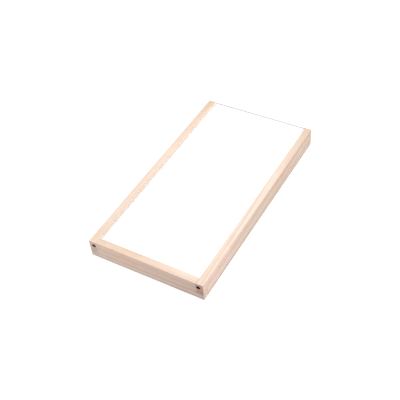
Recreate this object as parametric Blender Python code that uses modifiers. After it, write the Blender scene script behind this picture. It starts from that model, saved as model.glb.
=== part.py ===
"""Wooden screen printing frame: four finger-jointed pine rails that hold a stretched fabric mesh.

The frame lies with its mesh side up. +Z is up, +Y runs along the frame from the near rail to the
far rail, and the origin is the middle of the footprint, on the surface that the frame lies on.
Every length is in metres.
"""

import math

import bmesh
import bpy
from mathutils import Vector

# Overall size.
FRAME_WIDTH = 0.254
FRAME_LENGTH = 0.480
FRAME_HEIGHT = 0.040

# Rails, all planed from one size of batten, with two-finger corner joints.
RAIL_THICKNESS = 0.015
FINGER_HEIGHT = 0.017
EDGE_ROUND = 0.0005

# Fabric, and the grooves that its edges are pressed into with a cord.
MESH_THICKNESS = 0.0004
MESH_RECESS = 0.009
GROOVE_DEPTH = 0.0045
CORD_DIAMETER = 0.0022
CORNER_SNIP = 0.017
FREE_EDGE = 0.008

# Far rail: rebated for the fabric, with a thin lip that the fabric climbs to and is turned over.
LIP_THICKNESS = 0.0025
FAR_RAIL_SET_IN = 0.0015
FLAP_DROP = 0.027

# Staples on the far rail's outer face.
STAPLE_CROWN = 0.010
STAPLE_LEG = 0.006
STAPLE_WIRE_WIDTH = 0.0012
STAPLE_WIRE_THICKNESS = 0.0005
STAPLE_PITCH = 0.025
STAPLE_END_MARGIN = 0.012
STAPLE_ABOVE_HEM = 0.006

# Corner screws, driven at a slant through a side rail's finger into the end of a cross rail.
SCREW_SLANT = math.radians(40)
SCREW_FROM_JOINT = 0.0048
NEAR_SCREW_BELOW_TOP = 0.0097
COUNTERBORE_RADIUS = 0.0031
SCREW_HEAD_RADIUS = 0.0027
SCREW_HEAD_HEIGHT = 0.0018
SCREW_HEAD_DEPTH = 0.0040
SCREW_SHANK_RADIUS = 0.0015
SCREW_POINT = 0.003
SCREW_TIP_COVER = 0.0017
DRIVE_SOCKET_WIDTH = 0.0022
DRIVE_SOCKET_DEPTH = 0.0012

# Gap left between pieces that touch.
FIT_GAP = 0.0003

# How far a cutter runs past the faces that it opens.
OVERSHOOT = 0.004

HALF_WIDTH = FRAME_WIDTH / 2
HALF_LENGTH = FRAME_LENGTH / 2
INNER_X = HALF_WIDTH - RAIL_THICKNESS
INNER_Y = HALF_LENGTH - RAIL_THICKNESS
MESH_TOP = FRAME_HEIGHT - MESH_RECESS
MESH_BOTTOM = MESH_TOP - MESH_THICKNESS
GROOVE_TOP = MESH_TOP + FIT_GAP
GROOVE_BOTTOM = MESH_BOTTOM - CORD_DIAMETER - 2 * FIT_GAP
CORD_Z = MESH_BOTTOM - FIT_GAP - CORD_DIAMETER / 2
FAR_RAIL_REAR = HALF_LENGTH - FAR_RAIL_SET_IN
LIP_FRONT = FAR_RAIL_REAR - LIP_THICKNESS
LIP_TOP = FRAME_HEIGHT - MESH_THICKNESS - FIT_GAP
REBATE_FLOOR = MESH_BOTTOM - FIT_GAP
FLAP_BOTTOM = FRAME_HEIGHT - FLAP_DROP
SHEET_HALF = INNER_X - FIT_GAP
SHEET_LEVEL = MESH_TOP - MESH_THICKNESS / 2
SHEET_CREST = FRAME_HEIGHT - MESH_THICKNESS / 2
SHEET_RISE = LIP_FRONT - FIT_GAP - MESH_THICKNESS / 2
SHEET_REAR = FAR_RAIL_REAR + FIT_GAP + MESH_THICKNESS / 2
TUCK_DEPTH = GROOVE_DEPTH - 2 * FIT_GAP
SIDE_TUCK_NEAR = -INNER_Y + CORNER_SNIP
SIDE_TUCK_FAR = SHEET_RISE - FREE_EDGE
NEAR_TUCK_REACH = INNER_X - CORNER_SNIP
STAPLE_Z = FLAP_BOTTOM + STAPLE_ABOVE_HEM

WOOD = ("pine", (0.80, 0.60, 0.42), 0.60, 0.0)
FABRIC = ("mesh_fabric", (0.90, 0.90, 0.89), 0.85, 0.0)
CORD = ("cord_nylon", (0.85, 0.85, 0.83), 0.70, 0.0)
DARK_STEEL = ("dark_steel", (0.05, 0.035, 0.03), 0.45, 1.0)
STEEL = ("staple_steel", (0.62, 0.62, 0.60), 0.35, 1.0)


def clear_scene():
    for obj in list(bpy.data.objects):
        bpy.data.objects.remove(obj, do_unlink=True)


def new_collection(name, hidden=False):
    collection = bpy.data.collections.new(name)
    bpy.context.scene.collection.children.link(collection)
    collection.hide_render = hidden
    return collection


clear_scene()
PARTS = new_collection("screen_printing_frame")
CUTTERS = new_collection("cutters", hidden=True)
STAPLE_CUTTERS = new_collection("staple_cutters", hidden=True)


def material_for(finish):
    name, colour, roughness, metallic = finish
    material = bpy.data.materials.get(name)
    if material is None:
        material = bpy.data.materials.new(name)
        material.use_nodes = True
        shader = material.node_tree.nodes["Principled BSDF"]
        shader.inputs["Base Color"].default_value = (*colour, 1.0)
        shader.inputs["Roughness"].default_value = roughness
        shader.inputs["Metallic"].default_value = metallic
        material.diffuse_color = (*colour, 1.0)
    return material


def put_in(obj, collection):
    for old in list(obj.users_collection):
        old.objects.unlink(obj)
    collection.objects.link(obj)


def as_part(obj, name, finish):
    obj.name = name
    obj.data.name = name
    obj.data.materials.clear()
    obj.data.materials.append(material_for(finish))
    put_in(obj, PARTS)
    return obj


def as_cutter(obj, name, collection=CUTTERS):
    obj.name = name
    obj.hide_render = True
    obj.display_type = "WIRE"
    put_in(obj, collection)
    return obj


def block(corner, opposite):
    """A box between two opposite corners, with its scale applied."""
    low = Vector(map(min, corner, opposite))
    high = Vector(map(max, corner, opposite))
    bpy.ops.mesh.primitive_cube_add(size=1, location=(low + high) / 2)
    obj = bpy.context.active_object
    obj.scale = high - low
    bpy.ops.object.transform_apply(location=False, rotation=False, scale=True)
    return obj


def round_edges(obj, width):
    bevel = obj.modifiers.new("rounded_edges", "BEVEL")
    bevel.width = width
    bevel.segments = 2
    bevel.limit_method = "ANGLE"


def cut(obj, cutter):
    boolean = obj.modifiers.new("cut_" + cutter.name, "BOOLEAN")
    boolean.operation = "DIFFERENCE"
    boolean.solver = "EXACT"
    boolean.object = cutter


def cut_by_collection(obj, collection):
    boolean = obj.modifiers.new("cut_" + collection.name, "BOOLEAN")
    boolean.operation = "DIFFERENCE"
    boolean.solver = "EXACT"
    boolean.operand_type = "COLLECTION"
    boolean.collection = collection


def outline_solid(points, thickness):
    """A closed outline in the local XY plane, extruded evenly about it, as a mesh."""
    curve = bpy.data.curves.new("outline", "CURVE")
    curve.dimensions = "2D"
    curve.fill_mode = "BOTH"
    curve.extrude = thickness / 2
    spline = curve.splines.new("POLY")
    spline.points.add(len(points) - 1)
    for point, (x, y) in zip(spline.points, points):
        point.co = (x, y, 0, 1)
    spline.use_cyclic_u = True
    outline = bpy.data.objects.new("outline", curve)
    CUTTERS.objects.link(outline)
    return mesh_from_curve(outline)


def mesh_from_curve(curve_object):
    bpy.context.view_layer.update()
    graph = bpy.context.evaluated_depsgraph_get()
    mesh = bpy.data.meshes.new_from_object(curve_object.evaluated_get(graph))
    shape = bmesh.new()
    shape.from_mesh(mesh)
    bmesh.ops.remove_doubles(shape, verts=shape.verts, dist=0.00001)
    bmesh.ops.dissolve_limit(shape, angle_limit=math.radians(1), verts=shape.verts, edges=shape.edges)
    bmesh.ops.recalc_face_normals(shape, faces=shape.faces)
    shape.to_mesh(mesh)
    shape.free()
    obj = bpy.data.objects.new("outline_mesh", mesh)
    obj.matrix_world = curve_object.matrix_world
    bpy.data.objects.remove(curve_object, do_unlink=True)
    CUTTERS.objects.link(obj)
    return obj


def turned(profile):
    """A solid of revolution about the local Z axis; the profile runs from the top down."""
    mesh = bpy.data.meshes.new("turned")
    edges = [(i, i + 1) for i in range(len(profile) - 1)]
    mesh.from_pydata([(radius, 0, z) for radius, z in profile], edges, [])
    obj = bpy.data.objects.new("turned", mesh)
    CUTTERS.objects.link(obj)
    screw = obj.modifiers.new("turn", "SCREW")
    screw.steps = 24
    screw.render_steps = 24
    screw.use_merge_vertices = True
    screw.merge_threshold = 0.00001
    return obj


# The corners that the screws hold, as the signs of their X and Y.
CORNERS = {
    "near_left": (-1, -1),
    "near_right": (1, -1),
    "far_left": (-1, 1),
    "far_right": (1, 1),
}
NEAR_SCREW_Z = FRAME_HEIGHT - NEAR_SCREW_BELOW_TOP
FAR_SCREW_Z = (FINGER_HEIGHT + REBATE_FLOOR) / 2
SCREW_SEAT = SCREW_HEAD_DEPTH + SCREW_HEAD_HEIGHT
SCREW_TIP = (RAIL_THICKNESS - SCREW_TIP_COVER) / math.cos(SCREW_SLANT)


def screw_frame(corner):
    """Where a screw enters the end of its side rail, and the rotation whose -Z is its way in."""
    side, end = CORNERS[corner]
    height = NEAR_SCREW_Z if end < 0 else FAR_SCREW_Z
    entry = Vector((side * (INNER_X + SCREW_FROM_JOINT), end * HALF_LENGTH, height))
    way_in = Vector((-side * math.sin(SCREW_SLANT), -end * math.cos(SCREW_SLANT), 0))
    return entry, (-way_in).to_track_quat("Z", "Y")


def place_on_screw_axis(obj, corner):
    entry, turn = screw_frame(corner)
    obj.location = entry
    obj.rotation_mode = "QUATERNION"
    obj.rotation_quaternion = turn


def make_screw_bore(corner):
    pilot = SCREW_SHANK_RADIUS + FIT_GAP
    seat = SCREW_SEAT + FIT_GAP
    bottom = SCREW_TIP + FIT_GAP
    bore = turned(
        [
            (0, OVERSHOOT),
            (COUNTERBORE_RADIUS, OVERSHOOT),
            (COUNTERBORE_RADIUS, -seat),
            (pilot, -seat),
            (pilot, -bottom),
            (0, -bottom),
        ]
    )
    place_on_screw_axis(bore, corner)
    return as_cutter(bore, corner + "_bore")


def make_screw(corner):
    head_rim = SCREW_HEAD_DEPTH + SCREW_HEAD_HEIGHT / 4
    screw = turned(
        [
            (0, -SCREW_HEAD_DEPTH),
            (SCREW_HEAD_RADIUS, -SCREW_HEAD_DEPTH),
            (SCREW_HEAD_RADIUS, -head_rim),
            (SCREW_SHANK_RADIUS, -SCREW_SEAT),
            (SCREW_SHANK_RADIUS, SCREW_POINT - SCREW_TIP),
            (0, -SCREW_TIP),
        ]
    )
    place_on_screw_axis(screw, corner)
    half = DRIVE_SOCKET_WIDTH / 2
    socket_floor = -SCREW_HEAD_DEPTH - DRIVE_SOCKET_DEPTH
    socket = block((-half, -half, socket_floor), (half, half, OVERSHOOT))
    bpy.ops.object.transform_apply(location=True, rotation=False, scale=False)
    place_on_screw_axis(socket, corner)
    cut(screw, as_cutter(socket, corner + "_drive_socket"))
    return as_part(screw, corner + "_screw", DARK_STEEL)


def make_side_rail(side, name, bores):
    outer = side * HALF_WIDTH
    inner = side * INNER_X
    low_x = min(outer, inner)
    high_x = max(outer, inner)
    rail = block((low_x, -HALF_LENGTH, 0), (high_x, HALF_LENGTH, FRAME_HEIGHT))
    round_edges(rail, EDGE_ROUND)
    for end in (-1, 1):
        notch = block(
            (low_x - OVERSHOOT, end * (INNER_Y - FIT_GAP), -OVERSHOOT),
            (high_x + OVERSHOOT, end * (HALF_LENGTH + OVERSHOOT), FINGER_HEIGHT + FIT_GAP),
        )
        cut(rail, as_cutter(notch, name + ("_near" if end < 0 else "_far") + "_notch"))
    groove = block(
        (inner - side * OVERSHOOT, SIDE_TUCK_NEAR - FIT_GAP, GROOVE_BOTTOM),
        (inner + side * GROOVE_DEPTH, SIDE_TUCK_FAR + FIT_GAP, GROOVE_TOP),
    )
    cut(rail, as_cutter(groove, name + "_groove"))
    for bore in bores:
        cut(rail, bore)
    return as_part(rail, name, WOOD)


def make_cross_rail(name, low_y, high_y, top, bores):
    """A cross rail with the notches that leave its lower finger at both ends."""
    rail = block((-HALF_WIDTH, low_y, 0), (HALF_WIDTH, high_y, top))
    round_edges(rail, EDGE_ROUND)
    for side in (-1, 1):
        notch = block(
            (side * (INNER_X - FIT_GAP), low_y - OVERSHOOT, FINGER_HEIGHT),
            (side * (HALF_WIDTH + OVERSHOOT), high_y + OVERSHOOT, top + OVERSHOOT),
        )
        cut(rail, as_cutter(notch, name + ("_left" if side < 0 else "_right") + "_notch"))
    for bore in bores:
        cut(rail, bore)
    return as_part(rail, name, WOOD)


def make_near_rail(bores):
    rail = make_cross_rail("near_rail", -HALF_LENGTH, -INNER_Y, FRAME_HEIGHT, bores)
    reach = NEAR_TUCK_REACH + FIT_GAP
    groove = block(
        (-reach, -INNER_Y - GROOVE_DEPTH, GROOVE_BOTTOM),
        (reach, -INNER_Y + OVERSHOOT, GROOVE_TOP),
    )
    cut(rail, as_cutter(groove, "near_rail_groove"))
    return rail


def make_far_rail(bores):
    rail = make_cross_rail("far_rail", INNER_Y, FAR_RAIL_REAR, LIP_TOP, bores)
    rebate = block(
        (-HALF_WIDTH - OVERSHOOT, INNER_Y - OVERSHOOT, REBATE_FLOOR),
        (HALF_WIDTH + OVERSHOOT, LIP_FRONT, FRAME_HEIGHT + OVERSHOOT),
    )
    cut(rail, as_cutter(rebate, "far_rail_rebate"))
    cut_by_collection(rail, STAPLE_CUTTERS)
    return rail


def fabric_height(x, y):
    """The middle of the taut fabric: level where three sides hold it, lifted towards the far lip."""
    across = math.pi * (x + SHEET_HALF) / (2 * SHEET_HALF)
    back = math.pi * (SHEET_RISE - y) / (2 * SHEET_HALF)
    lift = 2 / math.pi * math.atan2(math.sin(across), math.sinh(back))
    return SHEET_LEVEL + (SHEET_CREST - SHEET_LEVEL) * lift


def fabric_columns():
    """Places across the sheet, closer together towards its sides, with a tuck's edge at each end."""
    side = [SHEET_HALF, SHEET_HALF - 0.006, NEAR_TUCK_REACH, SHEET_HALF * 0.68, SHEET_HALF * 0.45]
    half = [INNER_X + TUCK_DEPTH] + side + [SHEET_HALF * 0.2]
    return [-x for x in half] + half[::-1]


def fabric_rows():
    """Places along the sheet, closer together towards the far lip, with heights where they are fixed."""
    rows = [(-INNER_Y - TUCK_DEPTH, SHEET_LEVEL), (-INNER_Y + FIT_GAP, SHEET_LEVEL), (SIDE_TUCK_NEAR, None)]
    for back in (0.85, 0.65, 0.48, 0.34, 0.24, 0.16, 0.10, 0.06):
        rows.append((SHEET_RISE - back * 2 * INNER_Y, None))
    rows += [(SIDE_TUCK_FAR - FREE_EDGE, None), (SIDE_TUCK_FAR, None)]
    return rows + [(SHEET_RISE, SHEET_CREST), (SHEET_REAR, SHEET_CREST), (SHEET_REAR, FLAP_BOTTOM)]


def make_screen_mesh():
    """The sheet between the rails, turned over the far lip, with tucks in the grooves of the others."""
    columns = fabric_columns()
    rows = fabric_rows()
    last = len(columns) - 1
    crest = len(rows) - 3
    shape = bmesh.new()
    grid = []
    for y, height in rows:
        line = []
        for x in columns:
            held = abs(x) >= SHEET_HALF and height is None
            z = SHEET_LEVEL if held else fabric_height(x, y) if height is None else height
            line.append(shape.verts.new((x, y, z)))
        grid.append(line)
    for i in range(len(rows) - 1):
        for j in range(last):
            in_side_tuck = j in (0, last - 1)
            side_held = SIDE_TUCK_NEAR <= rows[i][0] and i + 1 < crest
            near_held = max(abs(columns[j]), abs(columns[j + 1])) <= NEAR_TUCK_REACH
            if (in_side_tuck and not side_held) or (i == 0 and not near_held):
                continue
            shape.faces.new((grid[i][j], grid[i][j + 1], grid[i + 1][j + 1], grid[i + 1][j]))
    bmesh.ops.delete(shape, geom=[v for v in shape.verts if not v.link_faces], context="VERTS")
    mesh = bpy.data.meshes.new("sheet")
    shape.to_mesh(mesh)
    shape.free()
    sheet = bpy.data.objects.new("sheet", mesh)
    PARTS.objects.link(sheet)
    thickness = sheet.modifiers.new("thickness", "SOLIDIFY")
    thickness.thickness = MESH_THICKNESS
    thickness.offset = 0
    thickness.use_even_offset = True
    cut_by_collection(sheet, STAPLE_CUTTERS)
    return as_part(sheet, "screen_mesh", FABRIC)


def make_cord(name, start, end):
    curve = bpy.data.curves.new(name, "CURVE")
    curve.dimensions = "3D"
    curve.bevel_depth = CORD_DIAMETER / 2
    curve.bevel_resolution = 2
    curve.use_fill_caps = True
    spline = curve.splines.new("POLY")
    spline.points.add(1)
    for point, place in zip(spline.points, (start, end)):
        point.co = (*place, 1)
    spline.use_smooth = True
    cord = bpy.data.objects.new(name, curve)
    PARTS.objects.link(cord)
    return as_part(cord, name, CORD)


def make_cords():
    line = GROOVE_DEPTH / 2
    for side, name in ((-1, "left_cord"), (1, "right_cord")):
        x = side * (INNER_X + line)
        make_cord(name, (x, SIDE_TUCK_NEAR, CORD_Z), (x, SIDE_TUCK_FAR, CORD_Z))
    y = -INNER_Y - line
    make_cord("near_cord", (-NEAR_TUCK_REACH, y, CORD_Z), (NEAR_TUCK_REACH, y, CORD_Z))


def staple_places():
    """The middles of the staples along X, evenly spread over the fabric's width."""
    reach = SHEET_HALF - STAPLE_END_MARGIN
    gaps = int(2 * reach / STAPLE_PITCH + 0.5)
    return [-reach + 2 * reach * i / gaps for i in range(gaps + 1)]


def make_staple(number, x):
    half = STAPLE_CROWN / 2
    wire = STAPLE_WIRE_THICKNESS
    crown = 0.0
    leg_end = -wire - STAPLE_LEG
    outline = [
        (-half, crown),
        (half, crown),
        (half, leg_end),
        (half - wire, leg_end),
        (half - wire, -wire),
        (wire - half, -wire),
        (wire - half, leg_end),
        (-half, leg_end),
    ]
    staple = outline_solid(outline, STAPLE_WIRE_WIDTH)
    staple.location = (x, HALF_LENGTH, STAPLE_Z)
    as_part(staple, f"rear_staple_{number}", STEEL)
    for side in (-1, 1):
        centre = x + side * (half - wire / 2)
        leg_gap = wire / 2 + FIT_GAP
        height_gap = STAPLE_WIRE_WIDTH / 2 + FIT_GAP
        hole = block(
            (centre - leg_gap, HALF_LENGTH + leg_end - FIT_GAP, STAPLE_Z - height_gap),
            (centre + leg_gap, HALF_LENGTH + OVERSHOOT, STAPLE_Z + height_gap),
        )
        as_cutter(hole, f"staple_{number}_hole_{'left' if side < 0 else 'right'}", STAPLE_CUTTERS)


def build():
    bores = {corner: make_screw_bore(corner) for corner in CORNERS}
    make_side_rail(-1, "side_rail_left", [bores["near_left"], bores["far_left"]])
    make_side_rail(1, "side_rail_right", [bores["near_right"], bores["far_right"]])
    for number, x in enumerate(staple_places(), 1):
        make_staple(number, x)
    make_near_rail([bores["near_left"], bores["near_right"]])
    make_far_rail([bores["far_left"], bores["far_right"]])
    make_screen_mesh()
    make_cords()
    for corner in CORNERS:
        make_screw(corner)


build()
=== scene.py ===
import math

import bmesh
import bpy
import numpy as np
from mathutils import Matrix, Quaternion, Vector, noise


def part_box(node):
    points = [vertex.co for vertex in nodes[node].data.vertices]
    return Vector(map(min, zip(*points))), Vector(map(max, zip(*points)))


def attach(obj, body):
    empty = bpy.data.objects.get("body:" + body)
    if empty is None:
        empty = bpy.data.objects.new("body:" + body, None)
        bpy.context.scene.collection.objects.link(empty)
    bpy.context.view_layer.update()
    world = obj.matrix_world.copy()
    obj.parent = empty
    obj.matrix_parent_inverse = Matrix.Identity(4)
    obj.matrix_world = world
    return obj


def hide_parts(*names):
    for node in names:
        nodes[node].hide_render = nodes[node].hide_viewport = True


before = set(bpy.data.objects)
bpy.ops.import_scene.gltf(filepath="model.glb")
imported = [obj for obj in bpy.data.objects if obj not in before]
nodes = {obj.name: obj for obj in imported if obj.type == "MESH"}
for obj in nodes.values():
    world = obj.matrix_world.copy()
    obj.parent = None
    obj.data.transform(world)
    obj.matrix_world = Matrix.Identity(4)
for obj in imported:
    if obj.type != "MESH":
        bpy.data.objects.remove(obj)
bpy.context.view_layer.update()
print("frame loaded:", len(nodes), "nodes")

mm = 0.001


# Helpers for node trees.
def addNode(tree, kind, inputs=None, **settings):
    node = tree.nodes.new(kind)
    for name, value in settings.items():
        setattr(node, name, value)
    for key, value in (inputs or {}).items():
        if isinstance(value, bpy.types.NodeSocket):
            tree.links.new(value, node.inputs[key])
        else:
            node.inputs[key].default_value = value
    return node


def calc(tree, operation, *values):
    return addNode(tree, "ShaderNodeMath", dict(enumerate(values)), operation=operation).outputs[0]


def vectorCalc(tree, operation, *values):
    return addNode(tree, "ShaderNodeVectorMath", dict(enumerate(values)), operation=operation).outputs[0]


def vectorNumber(tree, operation, *values):
    # for a dot product or a length, which give a number
    node = addNode(tree, "ShaderNodeVectorMath", dict(enumerate(values)), operation=operation)
    return node.outputs["Value"]


def stretch(tree, vector, scale, shift=(0, 0, 0)):
    node = addNode(tree, "ShaderNodeMapping", {"Vector": vector, "Scale": scale})
    if isinstance(shift, bpy.types.NodeSocket):
        tree.links.new(shift, node.inputs["Location"])
    else:
        node.inputs["Location"].default_value = shift
    return node.outputs[0]


def scaled(tree, vector, factor):
    node = addNode(tree, "ShaderNodeVectorMath", {0: vector}, operation="SCALE")
    if isinstance(factor, bpy.types.NodeSocket):
        tree.links.new(factor, node.inputs["Scale"])
    else:
        node.inputs["Scale"].default_value = factor
    return node.outputs[0]


def noiseOf(tree, vector, detail=2.0, roughness=0.5):
    inputs = {"Vector": vector, "Scale": 1.0, "Detail": detail, "Roughness": roughness}
    return addNode(tree, "ShaderNodeTexNoise", inputs)


def rescale(tree, value, fromLow, fromHigh, toLow=0.0, toHigh=1.0):
    links = {"Value": value, "From Min": fromLow, "From Max": fromHigh, "To Min": toLow, "To Max": toHigh}
    return addNode(tree, "ShaderNodeMapRange", links).outputs[0]


def blendColor(tree, factor, first, second, mode="MIX"):
    node = addNode(tree, "ShaderNodeMix", data_type="RGBA", blend_type=mode)
    for index, value in ((0, factor), (6, first), (7, second)):
        if isinstance(value, bpy.types.NodeSocket):
            tree.links.new(value, node.inputs[index])
        else:
            node.inputs[index].default_value = value
    return node.outputs[2]


def darken(tree, factor, color, tint):
    return blendColor(tree, factor, color, blendColor(tree, 1.0, color, (*tint, 1), "MULTIPLY"))


def ramp(tree, value, stops, interpolation="LINEAR"):
    node = addNode(tree, "ShaderNodeValToRGB", {"Fac": value})
    node.color_ramp.interpolation = interpolation
    while len(node.color_ramp.elements) < len(stops):
        node.color_ramp.elements.new(0.5)
    for element, (place, color) in zip(node.color_ramp.elements, stops):
        element.position = place
        element.color = (*color, 1) if hasattr(color, "__len__") else (color, color, color, 1)
    return node.outputs[0]


def newGroup(name, inputs, outputs):
    tree = bpy.data.node_groups.new(name, "ShaderNodeTree")
    kinds = {"vector": "NodeSocketVector", "value": "NodeSocketFloat", "color": "NodeSocketColor"}
    for label, kind, default in inputs:
        socket = tree.interface.new_socket(label, in_out="INPUT", socket_type=kinds[kind])
        if default is not None:
            socket.default_value = default
    for label, kind in outputs:
        tree.interface.new_socket(label, in_out="OUTPUT", socket_type=kinds[kind])
    return tree, tree.nodes.new("NodeGroupInput").outputs, tree.nodes.new("NodeGroupOutput").inputs


def placeGroup(tree, group, inputs):
    node = tree.nodes.new("ShaderNodeGroup")
    node.node_tree = group
    for key, value in inputs.items():
        if isinstance(value, bpy.types.NodeSocket):
            tree.links.new(value, node.inputs[key])
        else:
            node.inputs[key].default_value = value
    return node.outputs


def newMaterial(name, roughness=0.5, **values):
    material = bpy.data.materials.new(name)
    material.use_nodes = True
    tree = material.node_tree
    shader = tree.nodes["Principled BSDF"]
    shader.inputs["Roughness"].default_value = roughness
    for key, value in values.items():
        shader.inputs[key.replace("_", " ")].default_value = value
    return material, tree, shader


# Shared effects. Noise scales are per metre: across the fibres twice, then along them.
grainLook = {
    "slowBend": (9, 9, 2.6),
    "fineBend": (140, 140, 9),
    "fineBendSize": 1.3 * mm,
    "breaks": (45, 45, 5),
    "fibre": (1300, 1300, 22),
    "streak": (380, 380, 5),
    "canal": (1900, 1900, 90),
    "canalDark": -0.16,
    "patch": (30, 30, 10),
    "patchShare": 0.6,
    "strongEvery": 3.0,  # rings from one broad band of late wood to the next
}


def makeBoardGrain():
    # Growth rings round a pith line along Z, fibres along Z, and slow colour patches.
    tree, given, out = newGroup(
        "boardGrain",
        [
            ("Position", "vector", None),
            ("End", "value", 0.0),
            ("Pith", "vector", (0.05, 0.05, 0)),
            ("Ring Width", "value", 3 * mm),
            ("Ring Shift", "value", 0.0),
            ("Lean", "value", 0.0),
            ("Wander", "value", 4 * mm),
            ("Seed", "vector", (0, 0, 0)),
            ("Early Color", "color", (0.8, 0.66, 0.53, 1)),
            ("Late Color", "color", (0.6, 0.45, 0.36, 1)),
            ("Patch Color", "color", (0.8, 0.6, 0.5, 1)),
            ("Ring Depth", "value", 0.5),
            ("End Depth", "value", 0.3),
            ("Fibre Depth", "value", 0.1),
        ],
        [("Color", "color"), ("Roughness", "value"), ("Height", "value")],
    )
    place = given["Position"]
    slow = noiseOf(tree, stretch(tree, place, grainLook["slowBend"], given["Seed"])).outputs["Color"]
    fine = noiseOf(tree, stretch(tree, place, grainLook["fineBend"], given["Seed"]), 3.0).outputs["Color"]
    slowShift = scaled(tree, vectorCalc(tree, "SUBTRACT", slow, (0.5, 0.5, 0.5)), given["Wander"])
    fineShift = scaled(tree, vectorCalc(tree, "SUBTRACT", fine, (0.5, 0.5, 0.5)), grainLook["fineBendSize"])
    wandered = vectorCalc(tree, "ADD", vectorCalc(tree, "ADD", place, slowShift), fineShift)
    away = vectorCalc(tree, "MULTIPLY", vectorCalc(tree, "SUBTRACT", wandered, given["Pith"]), (1, 1, 0))
    radius = vectorNumber(tree, "LENGTH", away)
    along = addNode(tree, "ShaderNodeSeparateXYZ", {0: place}).outputs[2]
    radius = calc(tree, "ADD", radius, given["Ring Shift"])
    radius = calc(tree, "MULTIPLY_ADD", along, given["Lean"], radius)
    phase = calc(tree, "DIVIDE", radius, given["Ring Width"])
    within = calc(tree, "FRACT", phase)
    number = calc(tree, "FLOOR", phase)
    cycle = calc(tree, "FLOORED_MODULO", number, grainLook["strongEvery"])
    strong = calc(tree, "GREATER_THAN", cycle, 1.5)
    broad = ramp(tree, within, [(0.0, 0.12), (0.2, 0.04), (0.6, 0.42), (0.9, 1.0), (1.0, 0.25)], "EASE")
    narrow = ramp(tree, within, [(0.0, 0.1), (0.3, 0.0), (0.75, 0.12), (0.93, 0.55), (1.0, 0.15)], "EASE")
    luck = addNode(tree, "ShaderNodeTexWhiteNoise", {"W": number}, noise_dimensions="1D").outputs["Value"]
    narrow = calc(tree, "MULTIPLY", narrow, rescale(tree, luck, 0, 1, 0.25, 1.1))
    late = calc(tree, "MULTIPLY_ADD", strong, calc(tree, "SUBTRACT", broad, narrow), narrow)
    breaks = noiseOf(tree, stretch(tree, place, grainLook["breaks"], given["Seed"])).outputs["Fac"]
    late = calc(tree, "MULTIPLY", late, rescale(tree, breaks, 0.3, 0.7, 0.55, 1.15))

    fibre = noiseOf(tree, stretch(tree, place, grainLook["fibre"], given["Seed"]), 3.0, 0.6).outputs["Fac"]
    streak = noiseOf(tree, stretch(tree, place, grainLook["streak"], given["Seed"])).outputs["Fac"]
    canal = noiseOf(tree, stretch(tree, place, grainLook["canal"], given["Seed"]), 1.0).outputs["Fac"]
    canal = rescale(tree, canal, 0.66, 0.74)
    patch = noiseOf(tree, stretch(tree, place, grainLook["patch"], given["Seed"])).outputs["Fac"]
    patch = rescale(tree, patch, 0.38, 0.68)

    ringMix = calc(tree, "MULTIPLY", late, given["Ring Depth"])
    endMix = calc(tree, "MULTIPLY", given["End"], given["End Depth"])
    ringMix = calc(tree, "MULTIPLY_ADD", endMix, calc(tree, "MULTIPLY_ADD", late, 0.8, 0.4), ringMix)
    color = blendColor(tree, ringMix, given["Early Color"], given["Late Color"])
    patched = blendColor(tree, 1.0, color, given["Patch Color"], "MULTIPLY")
    color = blendColor(tree, calc(tree, "MULTIPLY", patch, grainLook["patchShare"]), color, patched)
    tone = calc(tree, "MULTIPLY_ADD", calc(tree, "SUBTRACT", fibre, 0.5), given["Fibre Depth"], 1.0)
    tone = calc(tree, "MULTIPLY", tone, rescale(tree, streak, 0.3, 0.7, 0.95, 1.035))
    tone = calc(tree, "MULTIPLY", tone, calc(tree, "MULTIPLY_ADD", canal, grainLook["canalDark"], 1.0))
    tree.links.new(scaled(tree, color, tone), out["Color"])

    rough = calc(tree, "MULTIPLY_ADD", late, -0.09, calc(tree, "MULTIPLY_ADD", fibre, 0.2, 0.48))
    tree.links.new(calc(tree, "MULTIPLY_ADD", given["End"], 0.15, rough), out["Roughness"])
    height = calc(tree, "MULTIPLY_ADD", fibre, 0.5, calc(tree, "MULTIPLY", late, 0.35))
    tree.links.new(calc(tree, "MULTIPLY_ADD", canal, -0.5, height), out["Height"])
    return tree


boreShadeLook = {
    "ragged": (900, 900, 900),
    "raggedSize": 0.7 * mm,
    "softEdge": 0.5 * mm,
    "reach": 12 * mm,  # along the bore, both ways from its mouth
}


def makePaintedBoreShade():
    # Painted shade on the wall of a drilled hole, where shade falls in the bore, with a ragged edge round
    # its mouth.
    tree, given, out = newGroup(
        "paintedBoreShade",
        [
            ("Position", "vector", None),
            ("Mouth", "vector", None),
            ("Axis", "vector", None),
            ("Radius", "value", 3 * mm),
        ],
        [("Mask", "value")],
    )
    arm = vectorCalc(tree, "SUBTRACT", given["Position"], given["Mouth"])
    reach = vectorNumber(tree, "DOT_PRODUCT", arm, given["Axis"])
    off = vectorCalc(tree, "SUBTRACT", arm, scaled(tree, given["Axis"], reach))
    far = vectorNumber(tree, "LENGTH", off)
    ragged = noiseOf(tree, stretch(tree, given["Position"], boreShadeLook["ragged"]), 3.0).outputs["Fac"]
    far = calc(tree, "MULTIPLY_ADD", calc(tree, "SUBTRACT", ragged, 0.5), boreShadeLook["raggedSize"], far)
    inside = rescale(tree, calc(tree, "SUBTRACT", far, given["Radius"]), boreShadeLook["softEdge"], 0.0)
    close = calc(tree, "LESS_THAN", calc(tree, "ABSOLUTE", reach), boreShadeLook["reach"])
    tree.links.new(calc(tree, "MULTIPLY", inside, close), out["Mask"])
    return tree


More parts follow.
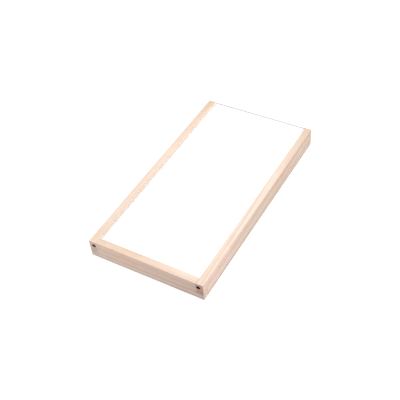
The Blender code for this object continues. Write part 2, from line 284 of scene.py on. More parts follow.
def makeArrisWear():
    # How near a point is to an edge of the solid, broken up so that no edge looks ruled.
    tree, given, out = newGroup(
        "arrisWear", [("Position", "vector", None), ("Reach", "value", 1.5 * mm)], [("Mask", "value")]
    )
    rounded = addNode(tree, "ShaderNodeBevel", {"Radius": given["Reach"]}, samples=6).outputs[0]
    facing = addNode(tree, "ShaderNodeNewGeometry").outputs["Normal"]
    alike = vectorNumber(tree, "DOT_PRODUCT", rounded, facing)
    edge = rescale(tree, alike, 0.995, 0.80)
    broken = noiseOf(tree, stretch(tree, given["Position"], (240, 240, 240)), 3.0).outputs["Fac"]
    mask = calc(tree, "MULTIPLY", edge, rescale(tree, broken, 0.3, 0.65, 0.35, 1.0))
    tree.links.new(mask, out["Mask"])
    return tree


def makeHandling():
    # Faint blotches from hands and shelf dust.
    tree, given, out = newGroup(
        "handling",
        [("Position", "vector", None), ("Amount", "value", 0.3)],
        [("Mask", "value")],
    )
    blotch = noiseOf(tree, stretch(tree, given["Position"], (38, 38, 38)), 4.0, 0.6).outputs["Fac"]
    tree.links.new(calc(tree, "MULTIPLY", rescale(tree, blotch, 0.45, 0.75), given["Amount"]), out["Mask"])
    return tree


def makePlainWeave():
    # Threads over and under each other, on flat cloth coordinates in metres.
    tree, given, out = newGroup(
        "plainWeave",
        [("Cloth", "vector", None), ("Pitch", "value", 0.4 * mm)],
        [("Height", "value"), ("Shade", "value")],
    )
    pitch = given["Pitch"]
    pitches = addNode(tree, "ShaderNodeCombineXYZ", {0: pitch, 1: pitch, 2: 1.0}).outputs[0]
    threads = vectorCalc(tree, "DIVIDE", given["Cloth"], pitches)
    parts = addNode(tree, "ShaderNodeSeparateXYZ", {0: threads}).outputs
    warp = calc(tree, "ABSOLUTE", calc(tree, "SINE", calc(tree, "MULTIPLY", parts[0], math.pi)))
    weft = calc(tree, "ABSOLUTE", calc(tree, "SINE", calc(tree, "MULTIPLY", parts[1], math.pi)))
    over = calc(tree, "ADD", calc(tree, "FLOOR", parts[0]), calc(tree, "FLOOR", parts[1]))
    over = calc(tree, "MODULO", calc(tree, "ABSOLUTE", over), 2.0)
    warpTop = calc(tree, "MULTIPLY", warp, calc(tree, "MULTIPLY_ADD", over, 0.5, 0.5))
    weftTop = calc(tree, "MULTIPLY", weft, calc(tree, "MULTIPLY_ADD", over, -0.5, 1.0))
    height = calc(tree, "MAXIMUM", warpTop, weftTop)
    tree.links.new(height, out["Height"])
    warpSlubs = noiseOf(tree, stretch(tree, given["Cloth"], (2400, 30, 1)), 2.0).outputs["Fac"]
    weftSlubs = noiseOf(tree, stretch(tree, given["Cloth"], (30, 2400, 1)), 2.0).outputs["Fac"]
    shade = rescale(tree, calc(tree, "ADD", warpSlubs, weftSlubs), 0.7, 1.3, 0.0, 0.6)
    # painted shade in the low parts between threads, added to the slubs' own tone
    shade = calc(tree, "MULTIPLY_ADD", calc(tree, "SUBTRACT", 1.0, height), 0.4, shade)
    tree.links.new(shade, out["Shade"])
    return tree


boardGrain = makeBoardGrain()
paintedBoreShade = makePaintedBoreShade()
arrisWear = makeArrisWear()
handling = makeHandling()
plainWeave = makePlainWeave()
print("shared effects ready")

# half the opening's width, and half its length
railThickness = 15 * mm
innerX = -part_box("side_rail_left")[1].x
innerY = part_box("side_rail_right")[1].y - railThickness


def screwAxis(node):
    # the middle of a screw's head, and the unit direction from its point to its head
    points = np.array([v.co for v in nodes[node].data.vertices])
    centre = points.mean(0)
    axis = np.linalg.svd(points - centre)[2][0]
    reach = (points - centre) @ axis
    wide = np.linalg.norm((points - centre) - np.outer(reach, axis), axis=1)
    if reach[wide.argmax()] < 0:
        axis, reach = -axis, -reach
    rim = points[wide > wide.max() * 0.9]
    top = rim.mean(0) + axis * (reach.max() - ((rim - centre) @ axis).mean())
    return Vector(top), Vector(axis), reach.max() - reach.min()


# Pine rails.
pineLook = {
    "early": (0.80, 0.655, 0.545),
    "late": (0.57, 0.435, 0.35),
    "patch": (0.985, 0.92, 0.86),
    # painted shade inside the screw bores
    "boreShade": (0.085, 0.028, 0.008),
    "edge": (0.93, 0.90, 0.88),
    "grime": (0.72, 0.62, 0.54),
    # glue and dirt in the joint seams, plus painted shade of the joint gap
    "seamDirtAndShade": (0.58, 0.52, 0.50),
    "seamHeight": 17 * mm,
    "seamReach": (1.3 * mm, 0.3 * mm),  # from clean to full, above and below the seam
    # painted light: a pale flat colour for the walls that face the opening
    "inner": (1.0, 0.85, 0.74),
    "paintedWallLightFrom": (-0.36, -0.42),
    # painted shade at the foot of the outer faces
    "footShade": (0.72, 0.69, 0.67),
    "footShadeHeight": (6.5 * mm, 0.5 * mm),
    "rubbed": (0.86, 0.74, 0.67),
    "rubHeight": (11 * mm, 4 * mm),
    "handling": 0.16,
    "wander": 7 * mm,
    "edgeRingDepth": 0.5,
    "fibreDepth": 0.2,
    "bump": 0.03 * mm,
    "edgeReach": 1.6 * mm,
    "boreRadius": 3.2 * mm,
}
# Tints are multiplied into the grain. "edges" runs along the top and bottom, "faces" along the two broad
# sides, both from the rail's near or left end to the other. "pith" is the rings' centre across the rail,
# "shift" and "lean" move and slant the rings, and "rub" is how pale the low part of the outer face is.
railLooks = {
    "side_rail_left": {
        "material": "pineLeftRail",
        "axis": "Y",
        "seed": (3.1, 7.7, 0.4),
        "pith": (-0.064, 0.085),
        "ring": 3.0 * mm,
        "shift": 4.5 * mm,
        "lean": 0.012,
        "depth": 0.4,
        "endDepth": 0.25,
        "end": (0.98, 0.89, 0.92),
        "rub": 0.5,
        "edges": [
            (0.0, (0.99, 0.975, 0.955)),
            (0.25, (0.99, 0.985, 0.98)),
            (0.75, (0.96, 0.93, 0.92)),
            (1.0, (0.85, 0.78, 0.72)),
        ],
        "faces": [(0.0, (1.03, 1.0, 0.98)), (1.0, (1.0, 0.97, 0.94))],
    },
    "side_rail_right": {
        "material": "pineRightRail",
        "axis": "Y",
        "seed": (11.3, 2.2, 5.4),
        "pith": (0.055, 0.105),
        "ring": 5.2 * mm,
        "shift": 3.26 * mm,
        "lean": 0.021,
        "depth": 1.2,
        "endDepth": 0.3,
        "end": (0.77, 0.62, 0.61),
        "rub": 0.05,
        "edges": [
            (0.0, (0.98, 0.95, 0.94)),
            (0.3, (1.0, 1.02, 1.06)),
            (0.65, (0.95, 0.96, 0.98)),
            (1.0, (0.80, 0.74, 0.68)),
        ],
        "faces": [
            (0.0, (1.19, 1.10, 1.13)),
            (0.3, (1.07, 1.01, 1.01)),
            (0.6, (1.01, 0.945, 0.90)),
            (1.0, (1.0, 0.945, 0.925)),
        ],
    },
    "near_rail": {
        "material": "pineNearRail",
        "axis": "X",
        "seed": (5.9, 1.3, 8.8),
        "pith": (-0.180, 0.085),
        "ring": 3.19 * mm,
        "shift": 1.76 * mm,
        "lean": 0.014,
        "depth": 1.3,
        "endDepth": 0.0,
        "end": (1.16, 1.08, 1.11),
        "rub": 0.8,
        "edges": [
            (0.0, (0.96, 0.905, 0.85)),
            (0.4, (0.99, 0.925, 0.88)),
            (0.8, (1.02, 0.995, 0.985)),
            (1.0, (0.97, 0.94, 0.94)),
        ],
        "faces": [
            (0.02, (0.91, 0.84, 0.87)),
            (0.11, (1.11, 1.03, 1.02)),
            (0.3, (1.08, 1.0, 1.0)),
            (0.5, (1.02, 0.93, 0.94)),
            (0.9, (0.965, 0.87, 0.865)),
            (0.98, (0.79, 0.70, 0.72)),
        ],
    },
    "far_rail": {
        "material": "pineFarRail",
        "axis": "X",
        "seed": (8.2, 4.9, 2.6),
        "pith": (0.190, -0.045),
        "ring": 2.9 * mm,
        "shift": 0.0,
        "lean": -0.01,
        "depth": 0.8,
        "endDepth": 0.05,
        "end": (0.97, 0.95, 0.95),
        "rub": 0.5,
        "edges": [(0.0, (0.99, 0.96, 0.93)), (1.0, (0.96, 0.93, 0.89))],
        "faces": [(0.0, (1.0, 0.97, 0.95)), (1.0, (0.98, 0.94, 0.91))],
    },
}


def makePine(name, look):
    material, tree, shader = newMaterial(look["material"], Specular_IOR_Level=0.35)
    texture = addNode(tree, "ShaderNodeTexCoord").outputs
    # turns the board so that its grain runs along Z
    alongY = look["axis"] == "Y"
    split = addNode(tree, "ShaderNodeSeparateXYZ", {0: texture["Object"]}).outputs
    across, along = (split[0], split[1]) if alongY else (split[1], split[0])
    place = addNode(tree, "ShaderNodeCombineXYZ", {0: across, 1: split[2], 2: along}).outputs[0]
    facing = addNode(tree, "ShaderNodeSeparateXYZ", {0: texture["Normal"]}).outputs
    end = rescale(tree, calc(tree, "ABSOLUTE", facing[1] if alongY else facing[0]), 0.6, 0.9)
    upward = rescale(tree, calc(tree, "ABSOLUTE", facing[2]), 0.4, 0.8)
    grain = placeGroup(tree, boardGrain, {
        "Position": place,
        "End": end,
        "Pith": (*look["pith"], 0),
        "Ring Width": look["ring"],
        "Ring Shift": look["shift"],
        "Lean": look["lean"],
        "Wander": pineLook["wander"],
        "Seed": look["seed"],
        "Early Color": (*pineLook["early"], 1),
        "Late Color": (*pineLook["late"], 1),
        "Patch Color": (*pineLook["patch"], 1),
        "End Depth": look["endDepth"],
        "Ring Depth": rescale(tree, upward, 0, 1, look["depth"], pineLook["edgeRingDepth"]),
        "Fibre Depth": pineLook["fibreDepth"],
    })
    low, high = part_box(name)
    axis = 1 if alongY else 0
    share = rescale(tree, along, low[axis], high[axis])
    tone = blendColor(tree, upward, ramp(tree, share, look["faces"]), ramp(tree, share, look["edges"]))
    tone = blendColor(tree, end, tone, (*look["end"], 1))
    color = blendColor(tree, 1.0, grain["Color"], tone, "MULTIPLY")
    # about -0.45 on the walls that face the opening, and 0.5 on the outer faces
    fromMiddle = vectorCalc(tree, "MULTIPLY", texture["Object"], (4, 2, 0))
    sides = vectorNumber(tree, "DOT_PRODUCT", fromMiddle, texture["Normal"])
    # painted light: walls that face the opening are mixed toward a flat pale colour, as bright as the lit
    # tops
    inside = rescale(tree, sides, *pineLook["paintedWallLightFrom"])
    color = blendColor(tree, inside, color, (*pineLook["inner"], 1))
    # outer faces are rubbed pale low down, and darkened by painted shade at the very foot, where the frame
    # meets the floor
    rubbing = noiseOf(tree, stretch(tree, place, (60, 60, 14), look["seed"]), 3.0).outputs["Fac"]
    outward = rescale(tree, sides, 0.1, 0.2)
    rub = calc(tree, "MULTIPLY", rescale(tree, split[2], *pineLook["rubHeight"]), outward)
    rub = calc(tree, "MULTIPLY", rub, rescale(tree, rubbing, 0.3, 0.6, 0.2 * look["rub"], look["rub"]))
    color = blendColor(tree, rub, color, (*pineLook["rubbed"], 1))
    footShade = calc(tree, "MULTIPLY", rescale(tree, split[2], *pineLook["footShadeHeight"]), outward)
    color = darken(tree, footShade, color, pineLook["footShade"])
    edges = {"Position": texture["Object"], "Reach": pineLook["edgeReach"]}
    worn = placeGroup(tree, arrisWear, edges)["Mask"]
    color = darken(tree, worn, color, pineLook["edge"])
    # glue and dirt in the finger joints' level seams, with painted shade that deepens the shadow of the
    # joint gap
    above = calc(tree, "SUBTRACT", split[2], pineLook["seamHeight"])
    seamDirtAndShade = rescale(tree, calc(tree, "ABSOLUTE", above), *pineLook["seamReach"])
    for part, limit in ((split[0], innerX), (split[1], innerY)):
        seamDirtAndShade = calc(tree, "MULTIPLY", seamDirtAndShade, calc(tree, "GREATER_THAN", calc(tree, "ABSOLUTE", part), limit))
    seamDirtAndShade = calc(tree, "MULTIPLY", seamDirtAndShade, rescale(tree, rubbing, 0.3, 0.6, 1.0, 0.4))
    color = darken(tree, seamDirtAndShade, color, pineLook["seamDirtAndShade"])
    marks = placeGroup(tree, handling, {"Position": texture["Object"], "Amount": pineLook["handling"]})
    color = darken(tree, marks["Mask"], color, pineLook["grime"])
    # painted shade, only in the bores whose mouths are in or close to this rail
    spare = 10 * mm
    boreShade = 0.0
    for screw in ("near_left_screw", "near_right_screw", "far_left_screw", "far_right_screw"):
        head, away = screwAxis(screw)[:2]
        if not (low.x - spare < head.x < high.x + spare and low.y - spare < head.y < high.y + spare):
            continue
        near = placeGroup(tree, paintedBoreShade, {
            "Position": texture["Object"], "Mouth": head, "Axis": away, "Radius": pineLook["boreRadius"],
        })["Mask"]
        boreShade = calc(tree, "MAXIMUM", boreShade, near)
    color = blendColor(tree, boreShade, color, (*pineLook["boreShade"], 1))
    tree.links.new(color, shader.inputs["Base Color"])
    rough = calc(tree, "MULTIPLY_ADD", worn, -0.08, grain["Roughness"])
    tree.links.new(calc(tree, "MULTIPLY_ADD", boreShade, 0.4, rough), shader.inputs["Roughness"])
    bump = addNode(tree, "ShaderNodeBump", {
        "Strength": 0.6, "Distance": pineLook["bump"], "Height": grain["Height"],
    })
    tree.links.new(bump.outputs[0], shader.inputs["Normal"])
    return material


for name, look in railLooks.items():
    rail = nodes[name]
    rail.data.materials.clear()
    rail.data.materials.append(makePine(name, look))
print("pine rails finished")

# White fabric.
fabricLook = {
    "color": (0.86, 0.86, 0.86),
    "valleyShade": (0.75, 0.75, 0.76),
    # painted shade along the cloth's fold over the far lip
    "foldShade": (0.46, 0.46, 0.46),
    "soil": (0.80, 0.79, 0.76),
    "soilAmount": 0.08,
    "edgePuff": 0.24 * mm,  # lift of the cloth where it enters a groove
    "puffWidth": 2.5 * mm,
    "pitch": 0.42 * mm,
    "thickness": 0.35 * mm,
    "gap": 0.3 * mm,  # from the opening's walls
    "tuckSteps": [1.3 * mm, 2.6 * mm, 3.0 * mm, 3.4 * mm, 3.86 * mm, 4.6 * mm],
    "tuckStraight": 2.6 * mm,  # before the cloth turns down beside a cord
    "curl": 0.8 * mm,  # radius of that turn
    "foldDepth": 3.5 * mm,  # from the climb's end to the rear
    "foldRadius": 0.5 * mm,
    "freeEdge": 8 * mm,
    "bulge": 0.3 * mm,  # of the rear flap between its staples
    "stapleHold": 5 * mm,
    "rippleWaves": 900,
    "rippleBend": 60,
    "columns": 72,
    "rows": 110,
    "rowCrowding": 1.25,  # more rows where the cloth climbs
    "foldRows": 5,
    "flapRows": 26,
}


def fabricMaterial():
    material, tree, shader = newMaterial("whiteMesh", Sheen_Weight=0.15, Sheen_Roughness=0.4)
    cloth = addNode(tree, "ShaderNodeUVMap", uv_map="flatCloth").outputs[0]
    weave = placeGroup(tree, plainWeave, {"Cloth": cloth, "Pitch": fabricLook["pitch"]})
    place = addNode(tree, "ShaderNodeTexCoord").outputs["Object"]
    soil = placeGroup(tree, handling, {"Position": place, "Amount": fabricLook["soilAmount"]})
    # the weave's Shade: painted shade between threads, plus the slubs' own tone
    between = calc(tree, "MULTIPLY", weave["Shade"], 0.35)
    color = blendColor(tree, between, (*fabricLook["color"], 1), (*fabricLook["valleyShade"], 1))
    color = blendColor(tree, soil["Mask"], color, (*fabricLook["soil"], 1))
    # painted shade along the fold over the far rail's lip, a grey line where the cloth turns away from the
    # light
    split = addNode(tree, "ShaderNodeSeparateXYZ", {0: place}).outputs
    backward = rescale(tree, split[1], riseY - 0.4 * mm, riseY + 0.3 * mm)
    upward = rescale(tree, split[2], crest - 1.2 * mm, crest - 0.3 * mm)
    fold = calc(tree, "MULTIPLY", backward, upward)
    # noise that breaks up the painted fold shade
    rubbed = noiseOf(tree, stretch(tree, place, (90, 400, 400)), 3.0).outputs["Fac"]
    fold = calc(tree, "MULTIPLY", fold, rescale(tree, rubbed, 0.3, 0.6, 0.75, 1.0))
    color = darken(tree, fold, color, fabricLook["foldShade"])
    tree.links.new(color, shader.inputs["Base Color"])
    tree.links.new(calc(tree, "MULTIPLY_ADD", weave["Height"], -0.15, 0.75), shader.inputs["Roughness"])
    threads = {"Strength": 0.35, "Distance": 0.05 * mm, "Height": weave["Height"]}
    bump = addNode(tree, "ShaderNodeBump", threads)
    tree.links.new(bump.outputs[0], shader.inputs["Normal"])
    return material


sheetBox, cordBox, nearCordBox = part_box("screen_mesh"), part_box("left_cord"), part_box("near_cord")
level = cordBox[1].z + 0.5 * mm  # middle of the cloth where the cords hold it
crest = sheetBox[1].z - fabricLook["thickness"] / 2
rearY = sheetBox[1].y - 0.2 * mm  # middle of the solid sheet's thickness
hemZ = sheetBox[0].z
halfSheet = innerX - fabricLook["gap"]
nearY = -innerY + fabricLook["gap"]
riseY = rearY - fabricLook["foldDepth"]
stapleNames = sorted(n for n in nodes if n.startswith("rear_staple"))
stapleSpots = [sum((Vector(c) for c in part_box(n)), Vector()) / 2 for n in stapleNames]


def puff(inward):
    return fabricLook["edgePuff"] * math.exp(-((max(inward, 0) / fabricLook["puffWidth"]) ** 2))


def clothHeight(x, y):
    # a taut film held level along three sides and lifted along the far one, with its far corners free
    inward = halfSheet - min(abs(x), halfSheet)
    back = max(riseY - y, 0)
    film = 1.0
    if back > 0:
        across = math.sin(math.pi * inward / (2 * halfSheet))
        film = 2 / math.pi * math.atan2(across, math.sinh(math.pi * back / (2 * halfSheet)))
    corner = max(1 - back / fabricLook["freeEdge"], 0) * math.exp(-((inward / fabricLook["freeEdge"]) ** 2))
    climb = (crest - level) * (1 - (1 - film) * (1 - corner))
    return level + climb + puff(min(inward, y + innerY)) * (1 - film)


def tuckPath(distance):
    # how far a tucked edge has gone in, and down, after this length of cloth
    straight = fabricLook["tuckStraight"]
    curl = fabricLook["curl"]
    if distance <= straight:
        return distance, 0.0
    turn = min((distance - straight) / curl, math.pi / 2)
    extra = max(distance - straight - curl * math.pi / 2, 0)
    return straight + curl * math.sin(turn), curl * (1 - math.cos(turn)) + extra


def rearPath(distance):
    # from the crest's front edge, back over the lip and down the far rail: (y, z, share of the way down)
    radius = fabricLook["foldRadius"]
    flat = rearY - riseY - radius
    if distance <= flat:
        return riseY + distance, crest
    turn = min((distance - flat) / radius, math.pi / 2)
    extra = max(distance - flat - radius * math.pi / 2, 0)
    return riseY + flat + radius * math.sin(turn), crest - radius * (1 - math.cos(turn)) - extra


def rearBulge(x, z):
    # loose between staples, drawn in under each crown, flat at the fold
    nearest = min(abs(x - spot.x) for spot in stapleSpots)
    loose = 1 - math.exp(-((nearest / fabricLook["stapleHold"]) ** 2))
    below = min(max((crest - z) / (crest - hemZ), 0), 1)
    bend = fabricLook["rippleBend"]
    wave = x * fabricLook["rippleWaves"] + 3 * noise.noise(Vector((x * bend, z * bend, 3)))
    ripple = 0.5 + 0.5 * math.cos(wave)
    return fabricLook["bulge"] * below * loose * (0.5 + 0.5 * ripple)


def smoothSteps(low, high, count):
    return [low + (high - low) * i / count for i in range(count + 1)]


def buildFabric():
    tuckSteps = fabricLook["tuckSteps"]
    inner = [halfSheet * math.sin(a * math.pi / 2) for a in smoothSteps(-1, 1, fabricLook["columns"])]
    columns = [-halfSheet - d for d in tuckSteps[::-1]] + inner + [halfSheet + d for d in tuckSteps]
    rows = [("near", d) for d in tuckSteps[::-1]]
    span = riseY - nearY
    along = []
    for a in smoothSteps(0, 1, fabricLook["rows"]):
        along.append(riseY - span * (1 - math.sin(a * math.pi / 2)) ** fabricLook["rowCrowding"])
    sideNear, sideFar = cordBox[0].y, cordBox[1].y
    along = sorted(along + [sideNear, sideFar])
    rows += [("film", y) for y in along]
    flat = rearY - riseY - fabricLook["foldRadius"]
    fold = fabricLook["foldRadius"] * math.pi / 2
    drop = crest - fabricLook["foldRadius"] - hemZ
    foldRows, flapRows = fabricLook["foldRows"], fabricLook["flapRows"]
    over = [flat * 0.5, flat]
    over += [flat + fold * i / foldRows for i in range(1, foldRows + 1)]
    over += [flat + fold + drop * i / flapRows for i in range(1, flapRows + 1)]
    rows += [("rear", d) for d in over]
    reachX = nearCordBox[1].x

    mesh = bmesh.new()
    uv = mesh.loops.layers.uv.new("flatCloth")
    grid, flatPlaces = [], {}
    for kind, value in rows:
        line = []
        for s in columns:
            outside = max(abs(s) - halfSheet, 0)
            inward, down = tuckPath(outside)
            x = math.copysign(min(abs(s), halfSheet) + inward, s)
            if kind == "near":
                into, fall = tuckPath(value)
                place = Vector((x, nearY - into, level + puff(0) - fall))
                t = nearY - value
            elif kind == "film":
                place = Vector((x, value, clothHeight(s, value) - down))
                t = value
            else:
                y, z = rearPath(value)
                place = Vector((x, y + rearBulge(x, z), z))
                t = riseY + value
            vert = mesh.verts.new(place)
            flatPlaces[vert] = (s, t)
            line.append(vert)
        grid.append(line)
    for i in range(len(rows) - 1):
        for j in range(len(columns) - 1):
            middle = (columns[j] + columns[j + 1]) / 2
            sideTuck = abs(middle) > halfSheet
            # the side tucks are only as long as their cords
            inSpan = rows[i][0] == rows[i + 1][0] == "film"
            inSpan = inSpan and sideNear - 1e-9 <= rows[i][1] and rows[i + 1][1] <= sideFar + 1e-9
            if sideTuck and not inSpan:
                continue
            if rows[i][0] == "near" and abs(middle) > reachX:
                continue
            face = mesh.faces.new((grid[i][j], grid[i][j + 1], grid[i + 1][j + 1], grid[i + 1][j]))
            for loop in face.loops:
                loop[uv].uv = flatPlaces[loop.vert]
    bmesh.ops.delete(mesh, geom=[v for v in mesh.verts if not v.link_faces], context="VERTS")
    bmesh.ops.recalc_face_normals(mesh, faces=mesh.faces)
    data = bpy.data.meshes.new("whiteFabric")
    mesh.to_mesh(data)
    mesh.free()
    data.shade_smooth()
    fabric = bpy.data.objects.new("whiteFabric", data)
    bpy.context.scene.collection.objects.link(fabric)
    thick = fabric.modifiers.new("thickness", "SOLIDIFY")
    thick.thickness = fabricLook["thickness"]
    thick.offset = 0
    data.materials.append(fabricMaterial())
    clothLength = columns[-1] - columns[0], (riseY + over[-1]) - (nearY - tuckSteps[-1])
    return fabric, clothLength


fabric, clothSize = buildFabric()
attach(fabric, "root")
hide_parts("screen_mesh")
print("fabric stretched, cut %.3f by %.3f m" % clothSize)

# Twisted retaining cords.
cordLook = {
    "color": (0.86, 0.86, 0.84),
    "groove": (0.62, 0.62, 0.60),
    "soil": (0.6, 0.57, 0.52),
    "strands": 3,
    "strandRadius": 0.52 * mm,
    "windRadius": 0.56 * mm,
    "pitch": 8 * mm,
    "stepsPerTurn": 14,
    "sides": 8,
}


def cordMaterial():
    material, tree, shader = newMaterial("twistedNylon", Sheen_Weight=0.2)
    place = addNode(tree, "ShaderNodeTexCoord").outputs["Object"]
    lint = noiseOf(tree, stretch(tree, place, (2600, 2600, 2600)), 3.0).outputs["Fac"]
    soil = placeGroup(tree, handling, {"Position": place, "Amount": 0.2})
    deep = rescale(tree, lint, 0.35, 0.65)
    color = blendColor(tree, deep, (*cordLook["color"], 1), (*cordLook["groove"], 1))
    color = blendColor(tree, soil["Mask"], color, (*cordLook["soil"], 1))
    tree.links.new(color, shader.inputs["Base Color"])
    tree.links.new(rescale(tree, lint, 0.3, 0.7, 0.45, 0.7), shader.inputs["Roughness"])
    bump = addNode(tree, "ShaderNodeBump", {"Strength": 0.5, "Distance": 0.05 * mm, "Height": lint})
    tree.links.new(bump.outputs[0], shader.inputs["Normal"])
    return material


nylon = cordMaterial()


def buildCord(name, node):
    low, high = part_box(node)
    alongY = high.y - low.y > high.x - low.x
    middle = (low + high) / 2
    length = max(high.y - low.y, high.x - low.x)
    axis = Vector((0, 1, 0)) if alongY else Vector((1, 0, 0))
    side = Vector((1, 0, 0)) if alongY else Vector((0, 1, 0))
    up = Vector((0, 0, 1))
    steps = int(length / cordLook["pitch"] * cordLook["stepsPerTurn"])
    points, faces = [], []
    count = cordLook["sides"]
    for strand in range(cordLook["strands"]):
        first = len(points)
        for i in range(steps + 1):
            turn = 2 * math.pi * (i / cordLook["stepsPerTurn"] + strand / cordLook["strands"])
            out = side * math.cos(turn) + up * math.sin(turn)
            centre = middle + axis * (length * (i / steps - 0.5)) + out * cordLook["windRadius"]
            for k in range(count):
                around = 2 * math.pi * k / count
                away = side * math.cos(around) + up * math.sin(around)
                points.append(centre + away * cordLook["strandRadius"])
        for i in range(steps):
            for k in range(count):
                a, b = first + i * count + k, first + i * count + (k + 1) % count
                faces.append((a, b, b + count, a + count))
        faces.append([first + k for k in range(count)][::-1])
        faces.append([first + steps * count + k for k in range(count)])
    data = bpy.data.meshes.new(name)
    data.from_pydata(points, [], faces)
    shape = bmesh.new()
    shape.from_mesh(data)
    bmesh.ops.recalc_face_normals(shape, faces=shape.faces)
    shape.to_mesh(data)
    shape.free()
    data.shade_smooth()
    data.materials.append(nylon)
    cord = bpy.data.objects.new(name, data)
    bpy.context.scene.collection.objects.link(cord)
    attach(cord, "root")
    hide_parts(node)
    return cord


for place in ("left", "right", "near"):
    buildCord(place + "TwistedCord", place + "_cord")
print("cords twisted")

# Corner screws.
screwLook = {
    "color": (0.10, 0.048, 0.024),
    "cloud": (0.035, 0.022, 0.016),
    "worn": (0.34, 0.25, 0.18),
    "soil": (0.14, 0.10, 0.075),
    "headRadius": 2.7 * mm,
    "headHeight": 1.8 * mm,
    "coreRadius": 1.15 * mm,
    "crestRadius": 1.6 * mm,
    "threadPitch": 1.3 * mm,
    "recessReach": 1.45 * mm,
    "recessWidth": 0.85 * mm,
    "recessDepth": 1.1 * mm,
    "slotEdge": 0.12 * mm,
    "middle": 0.05 * mm,  # radius of the first ring, in the middle of the head
    "rimStart": 0.94,  # share of the head's radius that its flat top covers
    "dome": 0.1 * mm,
    # below the rim: share of the head's radius, and depth
    "cone": [(1.0, 0.28 * mm), (1.0, 0.48 * mm), (0.8, 0.95 * mm), (0.62, 1.45 * mm)],
    "threadRunIn": 1.5 * mm,
    "pointLength": 3 * mm,
    "tipRadius": 0.02 * mm,
    "segments": 56,
    "headRings": 26,
    "ringsPerThread": 10,
    "sharpFrom": 40,  # degrees
}


def screwMaterial():
    material, tree, shader = newMaterial("darkScrew", Metallic=1.0)
    place = addNode(tree, "ShaderNodeTexCoord").outputs["Object"]
    worn = placeGroup(tree, arrisWear, {"Position": place, "Reach": 0.4 * mm})["Mask"]
    soil = placeGroup(tree, handling, {"Position": place, "Amount": 0.6})
    cloud = noiseOf(tree, stretch(tree, place, (500, 500, 500)), 3.0).outputs["Fac"]
    cloudy = rescale(tree, cloud, 0.35, 0.7)
    color = blendColor(tree, cloudy, (*screwLook["color"], 1), (*screwLook["cloud"], 1))
    color = blendColor(tree, calc(tree, "MULTIPLY", worn, 0.6), color, (*screwLook["worn"], 1))
    color = blendColor(tree, soil["Mask"], color, (*screwLook["soil"], 1))
    tree.links.new(color, shader.inputs["Base Color"])
    tree.links.new(rescale(tree, cloud, 0.3, 0.7, 0.35, 0.6), shader.inputs["Roughness"])
    bump = addNode(tree, "ShaderNodeBump", {"Strength": 0.4, "Distance": 0.03 * mm, "Height": cloud})
    tree.links.new(bump.outputs[0], shader.inputs["Normal"])
    return material


blackSteel = screwMaterial()


def recessDepthAt(x, y):
    # a cross of two slots that get shallower towards their ends
    depth = 0.0
    for a, b in ((x, y), (y, x)):
        along = min(abs(a) / screwLook["recessReach"], 1)
        wide = min(max((screwLook["recessWidth"] / 2 - abs(b)) / screwLook["slotEdge"] + 0.5, 0), 1)
        depth = max(depth, wide * min((1 - along) * 4, 1) * (1 - 0.5 * along))
    return depth * screwLook["recessDepth"]


def buildScrew(name, node):
    top, axis, length = screwAxis(node)
    turn = axis.to_track_quat("Z", "Y").to_matrix().to_4x4()
    shape = bmesh.new()
    segments, headRadius = screwLook["segments"], screwLook["headRadius"]
    angles = [2 * math.pi * k / segments for k in range(segments)]
    rings = []
    # head's top, from the middle outwards
    for r in smoothSteps(screwLook["middle"], headRadius * screwLook["rimStart"], screwLook["headRings"]):
        dome = -screwLook["dome"] * (r / headRadius) ** 2
        ring = []
        for a in angles:
            x, y = r * math.cos(a), r * math.sin(a)
            ring.append(shape.verts.new((x, y, dome - recessDepthAt(x, y))))
        rings.append(ring)
    for share, depth in screwLook["cone"]:
        r = headRadius * share
        rings.append([shape.verts.new((r * math.cos(a), r * math.sin(a), -depth)) for a in angles])
    # core and thread, down to the point
    neck, core = screwLook["headHeight"], screwLook["coreRadius"]
    threadSteps = int((length - neck) / screwLook["threadPitch"] * screwLook["ringsPerThread"])
    for i in range(threadSteps + 1):
        depth = neck + (length - neck) * i / threadSteps
        taper = min(1.0, (length - depth) / screwLook["pointLength"])
        starts = min(max((depth - neck) / screwLook["threadRunIn"], 0), 1)
        ring = []
        for k, a in enumerate(angles):
            wave = (depth / screwLook["threadPitch"] - k / segments) % 1
            ridge = max(0.0, 1 - abs(wave - 0.5) * 4)
            r = core + (screwLook["crestRadius"] - core) * ridge * starts
            r = max(r * taper, screwLook["tipRadius"])
            ring.append(shape.verts.new((r * math.cos(a), r * math.sin(a), -depth)))
        rings.append(ring)
    for a, b in zip(rings, rings[1:]):
        for k in range(segments):
            shape.faces.new((a[k], a[(k + 1) % segments], b[(k + 1) % segments], b[k]))
    shape.faces.new(rings[0])
    shape.faces.new(rings[-1][::-1])
    bmesh.ops.recalc_face_normals(shape, faces=shape.faces)
    shape.transform(Matrix.Translation(top) @ turn)
    data = bpy.data.meshes.new(name)
    shape.to_mesh(data)
    shape.free()
    data.shade_smooth()
    data.set_sharp_from_angle(angle=math.radians(screwLook["sharpFrom"]))
    data.materials.append(blackSteel)
    screw = bpy.data.objects.new(name, data)
    bpy.context.scene.collection.objects.link(screw)
    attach(screw, "root")
    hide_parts(node)


for corner in ("near_left", "near_right", "far_left", "far_right"):
    buildScrew(corner.replace("_l", "L").replace("_r", "R") + "Screw", corner + "_screw")
print("screws driven")

# Staples.
stapleLook = {
    "color": (0.60, 0.60, 0.58),
    "dull": (0.40, 0.39, 0.37),
    "soil": (0.25, 0.22, 0.18),
    "round": 0.12 * mm,
}


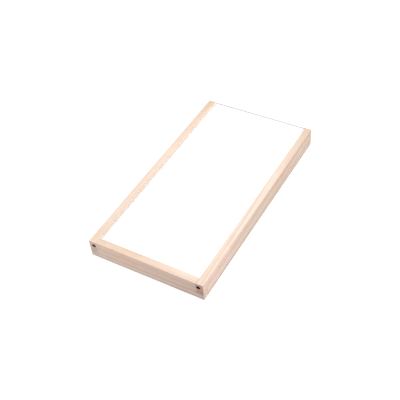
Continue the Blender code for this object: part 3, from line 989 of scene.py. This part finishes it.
def stapleMaterial():
    material, tree, shader = newMaterial("stapleWire", Metallic=1.0)
    place = addNode(tree, "ShaderNodeTexCoord").outputs["Object"]
    drawn = noiseOf(tree, stretch(tree, place, (300, 4000, 4000)), 2.0).outputs["Fac"]
    soil = placeGroup(tree, handling, {"Position": place, "Amount": 0.5})
    dull = rescale(tree, drawn, 0.35, 0.65)
    color = blendColor(tree, dull, (*stapleLook["color"], 1), (*stapleLook["dull"], 1))
    color = blendColor(tree, soil["Mask"], color, (*stapleLook["soil"], 1))
    tree.links.new(color, shader.inputs["Base Color"])
    tree.links.new(rescale(tree, drawn, 0.3, 0.7, 0.25, 0.45), shader.inputs["Roughness"])
    bump = addNode(tree, "ShaderNodeBump", {"Strength": 0.4, "Distance": 0.02 * mm, "Height": drawn})
    tree.links.new(bump.outputs[0], shader.inputs["Normal"])
    return material


wireSteel = stapleMaterial()
for name in stapleNames:
    staple = nodes[name]
    staple.data.materials.clear()
    staple.data.materials.append(wireSteel)
    soft = staple.modifiers.new("softEdges", "BEVEL")
    soft.width = stapleLook["round"]
    soft.segments = 2
print("staples finished")

# Floor, light and camera.
studio = {
    "floorSize": 8.0,
    "floorDrop": 0.3 * mm,
    "floorColor": (0.3, 0.3, 0.3),
    "floorGlow": 0.9,
    "skyLight": 0.3,
    "keyPlace": (0.22, 0.45, 1.9),
    "keySize": 1.6,
    "keyPower": 46.0,
    "cameraPlace": (0.62114, -0.94812, 1.12209),
    "cameraAim": (0.00239, -0.03448, 0.02),
    "cameraRoll": -6.253,
    "lens": 68.753,
    "sensor": 36,
    "nearClip": 0.05,
}


def buildFloor():
    half = studio["floorSize"] / 2
    data = bpy.data.meshes.new("floor")
    z = -studio["floorDrop"]
    corners = [(-half, -half, z), (half, -half, z), (half, half, z), (-half, half, z)]
    data.from_pydata(corners, [], [(0, 1, 2, 3)])
    floor = bpy.data.objects.new("floor", data)
    bpy.context.scene.collection.objects.link(floor)
    material, tree, shader = newMaterial("paleFloor", 0.9, Specular_IOR_Level=0.0)
    shader.inputs["Base Color"].default_value = (*studio["floorColor"], 1)
    shader.inputs["Emission Color"].default_value = (1, 1, 1, 1)
    shader.inputs["Emission Strength"].default_value = studio["floorGlow"]
    # seen from below, the floor lets the camera through to the frame's underside
    clear = addNode(tree, "ShaderNodeBsdfTransparent")
    behind = addNode(tree, "ShaderNodeNewGeometry").outputs["Backfacing"]
    mix = addNode(tree, "ShaderNodeMixShader", {0: behind, 1: shader.outputs[0], 2: clear.outputs[0]})
    tree.links.new(mix.outputs[0], tree.nodes["Material Output"].inputs["Surface"])
    data.materials.append(material)


def buildLight():
    world = bpy.data.worlds.new("studio")
    bpy.context.scene.world = world
    world.use_nodes = True
    tree = world.node_tree
    background = tree.nodes["Background"]
    background.inputs["Color"].default_value = (1, 1, 1, 1)
    seen = addNode(tree, "ShaderNodeLightPath").outputs["Is Camera Ray"]
    strength = rescale(tree, seen, 0, 1, studio["skyLight"], 1.0)
    tree.links.new(strength, background.inputs["Strength"])
    lamp = bpy.data.lights.new("keyPanel", "AREA")
    lamp.shape = "DISK"
    lamp.size = studio["keySize"]
    lamp.energy = studio["keyPower"]
    panel = bpy.data.objects.new("keyPanel", lamp)
    bpy.context.scene.collection.objects.link(panel)
    panel.location = studio["keyPlace"]
    panel.rotation_mode = "QUATERNION"
    panel.rotation_quaternion = (-Vector(studio["keyPlace"])).to_track_quat("-Z", "Y")


def buildCamera():
    data = bpy.data.cameras.new("camera")
    data.sensor_width = studio["sensor"]
    data.lens = studio["lens"]
    data.clip_start = studio["nearClip"]
    camera = bpy.data.objects.new("camera", data)
    bpy.context.scene.collection.objects.link(camera)
    place = Vector(studio["cameraPlace"])
    camera.location = place
    camera.rotation_mode = "QUATERNION"
    look = (Vector(studio["cameraAim"]) - place).to_track_quat("-Z", "Y")
    camera.rotation_quaternion = look @ Quaternion((0, 0, 1), math.radians(studio["cameraRoll"]))
    bpy.context.scene.camera = camera


buildFloor()
buildLight()
buildCamera()
bpy.context.scene.view_settings.view_transform = "Standard"
bpy.context.scene.view_settings.look = "None"
print("studio set")
